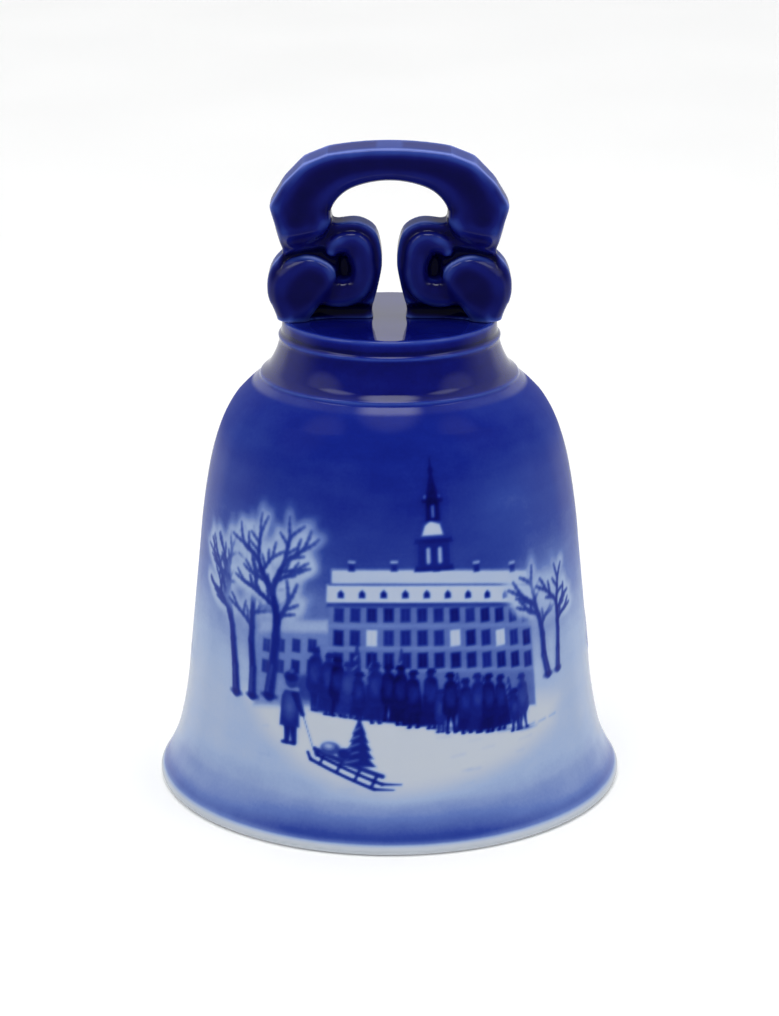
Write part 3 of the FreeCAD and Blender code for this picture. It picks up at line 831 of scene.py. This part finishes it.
def handle_field(x, y, z):
    """Signed field of the handle, on the three axes' full grid."""
    gx, gz = np.meshgrid(np.abs(x), z, indexing="ij")
    foot = np.exp(-np.clip(gz - CROWN, 0, None) / 0.7)

    arch = polygon_gap(soft_loop(ARCH, 1), gx, gz)
    lens = polygon_gap(soft_loop([(0.0, 123.4, 0), (7.4, 121.9, -19), (11.5, 117.6, -8),
                                  (11.3, 114.0, 0), (0.0, 112.0, 0)], 2), gx, gz)
    soft = 0.9 + 1.2 * step(127, 121, gz) + 0.9 * step(112, 109, gz)
    soft += (2.9 - soft) * step(0.5, 0.0, np.abs(lens - np.abs(arch))) * step(115, 118, gz)
    groove = np.exp(-(band_gap(flow([(0.0, 126.7, 0), (9.0, 125.7, 0), (16.0, 121.6, 0),
                                     (18.0, 116.0, 0)]), gx, gz) / 1.5) ** 2)
    slope = step(7.5, 0.5, band_gap([(14.0, 107.6, 0), (19.5, 106.6, 0)], gx, gz))
    field = slab(arch, 5.75 - 0.25 * groove - 3.0 * slope, soft, y)

    hook = band_gap(flow(HOOK), gx, gz)
    under = step(5.5, 1.0, band_gap([(9.0, 106.2, 0), (12.5, 107.6, 0)], gx, gz))
    depth = 5.3 - 1.2 * under * step(5.4, 8.0, gx)
    field = join(field, slab(hook, depth, np.full_like(gx, 1.7), y), 0.7)

    lobe = band_gap(flow(LOBE), gx, gz) - 0.4 * foot
    soft = 1.9 + 1.9 * step(14, 20.5, gx)
    field = join(field, slab(lobe, 5.8 + 0.7 * step(101, 96, gz), soft, y), 1.0)

    # The web fills the scroll but for the hook's hollow and a recess at the foot.
    web = polygon_gap(soft_loop(HANDLE, 1), gx, gz) + 0.5 * step(113, 116, gz) - 0.6 * foot
    pit = band_gap(flow([(8.3, 106.6, 0.9), (8.7, 104.6, 0.8)]), gx, gz)
    valley = band_gap(flow([(8.6, 105.6, 0.8), (9.6, 107.4, 1.1), (12.6, 107.9, 1.3),
                            (16.0, 107.5, 1.1), (19.5, 107.3, 0.6)]), gx, gz)
    depth = 3.7 - 2.0 * step(1.5, -0.4, pit) - 1.3 * step(1.9, -0.3, valley)
    depth -= 1.9 * step(99.4, 97.6, gz)
    depth = np.maximum(depth, 1.2) + (1.0 + 3.2 * step(10, 19, gx)) * foot
    field = join(field, slab(web, depth, np.minimum(1.2, 0.5 * depth), y), 0.9)
    return np.maximum(field, CROWN - z[None, None, :])


def surface_net(field, origin, cell):
    """Quads along the field's zero surface, one vertex in each cell it crosses."""
    inside = field < 0
    shape = np.array(field.shape) - 1
    total = np.zeros((*shape, 3))
    hits = np.zeros(tuple(shape))
    corners = [np.array(c) for c in np.ndindex(2, 2, 2)]

    def at(values, corner):
        return values[tuple(slice(c, c + n) for c, n in zip(corner, shape))]

    for a in corners:
        for axis in range(3):
            if a[axis]:
                continue
            b = a.copy()
            b[axis] = 1
            fa, fb = at(field, a), at(field, b)
            crossed = at(inside, a) != at(inside, b)
            t = np.where(crossed, fa / np.where(crossed, fa - fb, 1), 0)
            point = np.broadcast_to(a.astype(float), total.shape).copy()
            point[..., axis] += t
            total += point * crossed[..., None]
            hits += crossed
    index = -np.ones(tuple(shape), int)
    used = hits > 0
    index[used] = np.arange(used.sum())
    verts = (np.argwhere(used) + total[used] / hits[used][:, None]) * cell + origin
    quads = []
    for axis in range(3):
        u, v = (axis + 1) % 3, (axis + 2) % 3
        low = [slice(1, n) for n in shape]
        high = list(low)
        low[axis], high[axis] = slice(0, shape[axis]), slice(1, shape[axis] + 1)
        here, there = inside[tuple(low)], inside[tuple(high)]
        for first, second, order in ((here, there, 1), (there, here, -1)):
            ring = []
            for du, dv in ((0, 0), (1, 0), (1, 1), (0, 1)):
                cells = np.argwhere(first & ~second)
                cells[:, u] += du
                cells[:, v] += dv
                ring.append(index[tuple(cells.T)])
            quads.append(np.stack(ring[::order], 1))
    return verts, np.concatenate(quads)


def neighbour_mean(values, edges):
    """Mean over every vertex's neighbours, of one value or of several a vertex."""
    columns = values.reshape(len(values), -1).T
    total = [np.bincount(edges[:, 0], c[edges[:, 1]], len(values)) for c in columns]
    degree = np.bincount(edges[:, 0], minlength=len(values))
    return (np.stack(total, 1) / degree[:, None]).reshape(values.shape)


def bell_handle(material):
    """The scrolled arch: glaze pale over ridges and thick in hollows, and painted sheen on its
    side and top faces.
    """
    x = np.arange(-25.5, 25.51, CELL)
    y = np.arange(-7.5, 7.51, CELL)
    z = np.arange(CROWN - 0.8, TOP + 1, CELL)
    verts, quads = surface_net(handle_field(x, y, z), np.array([x[0], y[0], z[0]]), CELL)
    edges = np.concatenate([quads[:, [k, (k + 1) % 4]] for k in range(4)])
    edges = np.concatenate([edges, edges[:, ::-1]])
    # Even the steps of the grid out without shrinking: in by a half, out by a little more.
    for _ in range(11):
        for weight in (0.5, -0.51):
            verts = verts + (neighbour_mean(verts, edges) - verts) * weight
    verts[:, 2] -= 0.08 * step(127, 130, verts[:, 2])
    verts[:, 2] = np.clip(verts[:, 2], CROWN, TOP - 0.02)
    # Curvature: the mean of the neighbours lies below a ridge and above a hollow.
    wide = verts
    for _ in range(14):
        wide = neighbour_mean(wide, edges)
    facing = vertex_normals(verts, quads)
    ridge = ((verts - wide) * facing).sum(1)
    for _ in range(9):
        ridge = neighbour_mean(ridge, edges)
    thin = np.clip(0.20 + ridge * np.where(ridge > 0, 3.8, 1.4), 0, 1)
    thin -= 0.16 * step(4.2, 2.6, np.abs(verts[:, 1])) * step(2.0, 3.0, np.abs(verts[:, 0]))
    # Painted sheen: faces turned sideways are made paler, those turned up more so, and their glaze
    # less shiny.
    side = step(0.75, 0.25, np.abs(facing[:, 1]))
    top = side * step(0.2, 0.7, facing[:, 2])
    thin += side * (0.12 + 0.12 * (np.abs(verts[:, 0]) > 12)) + 0.34 * top
    piece = build_mesh("scroll_handle", verts, quads, "bell", material,
                       thin=np.clip(thin, 0, 1), matte=0.35 * side + 0.4 * top)
    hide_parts("handle")
    return piece


def vertex_normals(verts, quads):
    """Outward unit vectors at the vertices, from the quads round each."""
    a, b, c, d = (verts[quads[:, k]] for k in range(4))
    face = np.cross(c - a, d - b)
    out = np.zeros_like(verts)
    for k in range(4):
        for axis in range(3):
            out[:, axis] += np.bincount(quads[:, k], face[:, axis], len(verts))
    return out / np.maximum(np.linalg.norm(out, axis=1), 1e-9)[:, None]


# ---- hanging fittings

WIRE = 0.65         # radius of the wire
LOOP = 2.35         # radius of every loop's centre line
HOLD = 1.6          # from a loop's end up to the end of the loop that hangs in it
PITCH = 10.6        # from one link to the next
BAR = 83.6          # height of the staple's bar
STAPLE_TOP = 89.6   # where the staple's legs end, inside the plug


def tube(name, path, radius, body, material, closed, joint=None):
    """Round wire along a path; joint is the place of a closed loop's weld."""
    path = np.asarray(path, float)
    count, around = len(path), 20
    if closed:
        along = np.roll(path, -1, 0) - np.roll(path, 1, 0)
    else:
        along = np.gradient(path, axis=0)
    along /= np.linalg.norm(along, axis=1)[:, None]
    plane = np.cross(path - path.mean(0), along).sum(0)
    plane /= np.linalg.norm(plane)
    side = np.cross(along, plane)
    side /= np.linalg.norm(side, axis=1)[:, None]
    size = np.full(count, radius)
    if joint is not None:
        gap = np.linalg.norm(path - np.asarray(joint), axis=1)
        size = radius * (1 + 0.10 * np.exp(-(gap / 0.5) ** 2) - 0.07 * np.exp(-(gap / 0.16) ** 2))
    angles = np.linspace(0, 2 * math.pi, around, endpoint=False)
    ring = (np.cos(angles)[None, :, None] * side[:, None, :]
            + np.sin(angles)[None, :, None] * plane[None, None, :])
    verts = (path[:, None, :] + ring * size[:, None, None]).reshape(-1, 3)
    quads = grid_quads(count, around)
    if closed:
        j = np.arange(around)
        k = (j + 1) % around
        last = (count - 1) * around
        quads = np.concatenate([quads, np.stack([last + j, last + k, k, j], 1)])
        return build_mesh(name, verts, quads, body, material)
    verts = np.concatenate([verts, path[[0, -1]]])
    return build_mesh(name, verts, quads, body, material, tris=caps(count, around))


def caps(rows, around):
    """Triangles that close a grid's first and last rows on the two points after it."""
    tip = rows * around
    last = tip - around
    tris = []
    for j in range(around):
        k = (j + 1) % around
        tris += [(tip, k, j), (tip + 1, last + j, last + k)]
    return tris


def link_path(top, bottom, radius, across):
    """Centre line of a long-oval link, across Y when across is true, else across X."""
    low, high = bottom + radius, top - radius
    a = np.linspace(-math.pi / 2, math.pi / 2, 25)
    x, dip = radius * np.sin(a), radius * np.cos(a)
    sides = np.linspace(low, high, 14)[1:-1]
    edge = np.full(len(sides), radius)
    x, z = (np.concatenate(run) for run in ((x, edge, -x, -edge),
                                            (low - dip, sides, high + dip, sides[::-1])))
    zero = np.zeros(len(x))
    return np.stack([zero, x, z] if across else [x, zero, z], 1)


def hanging(wire, plaster, white):
    """Plug, staple, chain and clapper."""
    for i in range(5):
        top = BAR - i * PITCH + HOLD
        bottom = top - PITCH - HOLD
        across = i % 2 == 0
        middle = (top + bottom) / 2
        weld = (0, LOOP, middle) if across else (LOOP, 0, middle)
        piece = tube("wire_link_%d" % (i + 1), link_path(top, bottom, LOOP, across), WIRE,
                     "link_%d" % (i + 1), wire, True, weld)
        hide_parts("chain_link_%d" % (i + 1))
    span, bend = 2.7, 1.9
    a = np.linspace(0, math.pi / 2, 12)
    corner = np.stack([span - bend + bend * np.cos(a), BAR + bend - bend * np.sin(a)], 1)
    leg = [(span, z) for z in np.linspace(STAPLE_TOP, BAR + bend + 0.2, 8)]
    half = leg + list(corner) + [(0.4, BAR)]
    path = [(-x, 0, z) for x, z in half] + [(0, 0, BAR)] + [(x, 0, z) for x, z in half[::-1]]
    piece = tube("staple_wire", path, WIRE, "bell", wire, False)
    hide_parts("hanger_staple")
    top = BAR - 5 * PITCH + HOLD
    a = np.linspace(0, 2 * math.pi, 56, endpoint=False)
    ring = np.stack([LOOP * np.sin(a), np.zeros(56), top - LOOP - LOOP * np.cos(a)], 1)
    eye = tube("clapper_ring", ring, WIRE, "clapper", wire, True, (0, 0, top - 2 * LOOP))
    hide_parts("clapper_eye")
    # The tiny shift in Y gives the straight stem a plane to be built from.
    heights = np.linspace(20.9, top - 2 * LOOP + 0.2, 8)
    stem = tube("clapper_stem", [(0, 0.0001 * k, z) for k, z in enumerate(heights)],
                WIRE * 0.98, "clapper", wire, False)
    clapper_ball(white)
    plug(plaster)


def lathe(name, profile, around, body, material, wobble=0.0, **tones):
    """Turned piece; its profile runs from the axis, round the outside, to the axis."""
    profile = np.asarray(profile, float)
    theta = np.linspace(0, 2 * math.pi, around, endpoint=False)
    r = profile[1:-1, 0][:, None] * np.ones(around)
    z = profile[1:-1, 1][:, None] * np.ones(around)
    if wobble:
        wave = np.sin(3 * theta + 0.6) + 0.6 * np.sin(7 * theta + 2.0) + 0.4 * np.sin(11 * theta)
        r = r * (1 + wobble * wave * (r > r.max() * 0.8))
    verts = np.concatenate([turned(r, theta, z), [(0, 0, profile[0, 1]), (0, 0, profile[-1, 1])]])
    rows = len(profile) - 2
    quads, tris = grid_quads(rows, around), caps(rows, around)
    layers = {key: np.array([value(v) for v in verts]) for key, value in tones.items()}
    return build_mesh(name, verts, quads, body, material, tris=tris, **layers)


def clapper_ball(white):
    """Glazed porcelain ball with a short neck round the wire."""
    centre, radius = 15.4, 8.6
    meet = math.asin(4.5 / radius)
    a = np.linspace(-math.pi, -meet, 60)
    profile = [(radius * math.sin(-t), centre + radius * math.cos(t)) for t in a]
    profile[0] = (0, centre - radius)
    neck = [(4.1, 23.5), (3.6, 24.3), (3.15, 24.9), (2.6, 25.3), (1.8, 25.4), (0.9, 25.3),
            (0.7, 24.6), (0.0, 24.4)]
    piece = lathe("clapper_ball", profile + neck, 72, "clapper", white,
                  cobalt=lambda v: 0.04 + 0.66 * math.exp(-((v[2] - 20.6) / 0.45) ** 2)
                  + 0.5 * math.exp(-((v[2] - 10.4) / 0.3) ** 2),
                  bare=lambda v: 1.0 if v[2] > 25.2 else 0.0)
    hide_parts("clapper")


def plug(plaster):
    """Plaster plug under the crown, lumpy as it set."""
    profile = [(0, CEILING - 0.01), (6.3, CEILING - 0.01), (6.45, 90.4), (6.3, 89.0), (6.35, 88.0),
               (5.9, 87.1), (5.0, 86.85), (3.4, 86.9), (1.5, 87.0), (0, 87.0)]
    profile = outline([(r, z, 0) for r, z in profile], 0.5)
    piece = lathe("plaster_plug", profile, 64, "bell", plaster, wobble=0.012)
    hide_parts("hanger_plug")


# ---- stage
# Soft panels of light in the surroundings: direction, inner and outer half-angle in
# degrees, and brightness.
PANELS = [
    ((0.0, -0.10, 1.0), 7, 17, 2.8),
    ((0.0, 0.05, -1.0), 20, 50, 0.6),
    ((-0.55, -0.16, 0.82), 0, 15, 1.6),
    ((0.57, -0.14, 0.82), 0, 14, 1.3),
    ((-0.78, -0.22, 0.58), 0, 20, 0.5),
    ((0.80, -0.20, 0.58), 0, 20, 0.4),
]


def studio_world():
    """White surroundings to the sides and behind, a dim room in front, soft panels."""
    n = Nodes(bpy.data.worlds.new("studio"), "Background")
    bpy.context.scene.world = n.owner
    place = n.add("ShaderNodeTexCoord", {}).outputs["Generated"]
    back = n.add("ShaderNodeSeparateXYZ", {"Vector": place}).outputs["Y"]
    bright = n.math("ADD", n.spread(back, -0.35, 0.35, 0.07, 0.46, "SMOOTHSTEP"),
                    n.spread(back, 0.50, 0.72, 0.0, 0.36, "SMOOTHSTEP"))
    for direction, inner, outer, power in PANELS:
        dot = n.add("ShaderNodeVectorMath", {0: place, 1: Vector(direction).normalized()},
                    operation="DOT_PRODUCT").outputs["Value"]
        edge, core = (math.cos(math.radians(angle)) for angle in (outer, inner))
        bright = n.math("ADD", bright, n.spread(dot, edge, core, 0.0, power, "SMOOTHSTEP"))
    seen = n.add("ShaderNodeLightPath", {}).outputs["Is Camera Ray"]
    n.set(Strength=n.math("MAXIMUM", bright, seen), Color=(0.98, 0.985, 1.0, 1.0))


def stage():
    """Floor, surroundings, lights and the camera, in metres."""
    floor = bpy.data.meshes.new("floor")
    floor.from_pydata([(-3, -3, 0), (3, -3, 0), (3, 3, 0), (-3, 3, 0)], [], [(0, 1, 2, 3)])
    floor.materials.append(floor_material())
    ground_piece = put("floor", floor)
    ground_piece.visible_glossy = False
    studio_world()
    for name, place, power in (("soft_key", (-0.35, -0.70, 0.75), 3.2),
                               ("soft_fill", (0.65, -0.50, 0.55), 2.0)):
        panel = bpy.data.lights.new(name, "AREA")
        panel.size, panel.energy = 0.7, power
        aim = Vector((0, 0, 0.05)) - Vector(place)
        put(name, panel, place, aim.to_track_quat("-Z", "Y").to_euler()).visible_glossy = False
    sun = bpy.data.lights.new("soft_sky", "SUN")
    sun.energy, sun.angle = 1.1, math.radians(70)
    put("soft_sky", sun, turn=(math.radians(-12), 0, 0)).visible_glossy = False
    lens = bpy.data.cameras.new("camera")
    lens.sensor_fit = "VERTICAL"
    lens.angle_y = math.radians(19.9)
    bpy.context.scene.camera = put("camera", lens, (0.0, -0.559, 0.232),
                                   (math.radians(90 - 17.51), 0, 0))
    bpy.context.scene.view_settings.view_transform = "Standard"


# ---- assembly

glaze = glaze_material("painted_porcelain")
bell_shell(glaze)
bell_handle(handle_glaze())
hanging(wire_material(), plaster_material(), glaze_material("clapper_porcelain", 0.02, 0.01))
stage()
